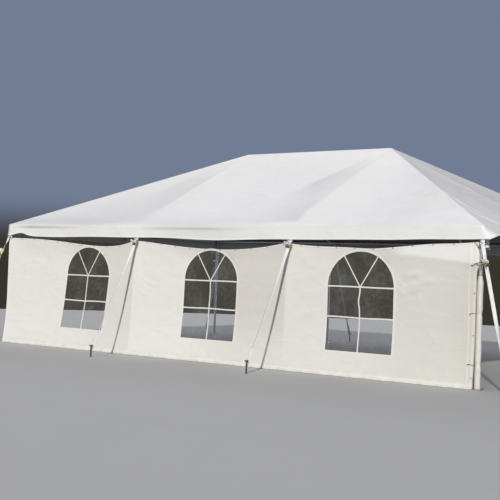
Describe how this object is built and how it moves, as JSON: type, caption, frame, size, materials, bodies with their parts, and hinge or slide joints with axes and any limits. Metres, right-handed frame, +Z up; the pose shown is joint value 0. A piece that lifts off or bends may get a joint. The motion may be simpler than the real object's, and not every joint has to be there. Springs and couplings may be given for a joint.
{
  "type": "hip-roofed marquee tent",
  "caption": "White hip-roofed frame tent with sagging canopy, valance, a wall with arched windows along the front, legs and guy straps; the other sides are open.",
  "frame": {"origin": "on the ground, under the middle of the tent", "axes": "+X along the ridge, to the right as seen from the walled front; +Y from the walled front to the open back; +Z up"},
  "size_m": [10.432, 8.016, 3.6539],
  "materials": {
    "frame_aluminium": "plain mill-finish tube, slightly dull",
    "canopy_vinyl": "white coated fabric, satin, with welded seams and soft wrinkles",
    "wall_vinyl": "warm white coated fabric, satin, thinner than the canopy",
    "clear_vinyl": "clear flexible sheet, glossy, slightly wavy",
    "webbing": "white woven strap, with a steel ratchet and stake"
  },
  "bodies": {
    "root": {"corner_fitting_back_left": "frame_aluminium", "corner_fitting_back_right": "frame_aluminium", "corner_fitting_front_left": "frame_aluminium", "corner_fitting_front_right": "frame_aluminium", "eave_back": "frame_aluminium", "eave_front": "frame_aluminium", "eave_left": "frame_aluminium", "eave_right": "frame_aluminium", "end_rafter_left": "frame_aluminium", "end_rafter_right": "frame_aluminium", "front_wall": "wall_vinyl", "guy_back_left_corner": "webbing", "guy_back_left_side": "webbing", "guy_back_right_corner": "webbing", "guy_back_right_side": "webbing", "guy_front_left_corner": "webbing", "guy_front_left_side": "webbing", "guy_front_right_corner": "webbing", "guy_front_right_side": "webbing", "hip_rafter_back_left": "frame_aluminium", "hip_rafter_back_right": "frame_aluminium", "hip_rafter_front_left": "frame_aluminium", "hip_rafter_front_right": "frame_aluminium", "leg_back_left_corner": "frame_aluminium", "leg_back_left_side": "frame_aluminium", "leg_back_right_corner": "frame_aluminium", "leg_back_right_side": "frame_aluminium", "leg_cover_front_right": "wall_vinyl", "leg_front_left_corner": "frame_aluminium", "leg_front_left_side": "frame_aluminium", "leg_front_right_corner": "frame_aluminium", "leg_front_right_side": "frame_aluminium", "leg_left_end": "frame_aluminium", "leg_right_end": "frame_aluminium", "ridge_beam": "frame_aluminium", "roof_back": "canopy_vinyl", "roof_front": "canopy_vinyl", "roof_left": "canopy_vinyl", "roof_right": "canopy_vinyl", "side_rafter_back_left": "frame_aluminium", "side_rafter_back_right": "frame_aluminium", "side_rafter_front_left": "frame_aluminium", "side_rafter_front_right": "frame_aluminium", "valance_back": "canopy_vinyl", "valance_front": "canopy_vinyl", "valance_left": "canopy_vinyl", "valance_right": "canopy_vinyl", "window_pane_left": "clear_vinyl", "window_pane_middle": "clear_vinyl", "window_pane_right": "clear_vinyl"}
  },
  "joints": []
}
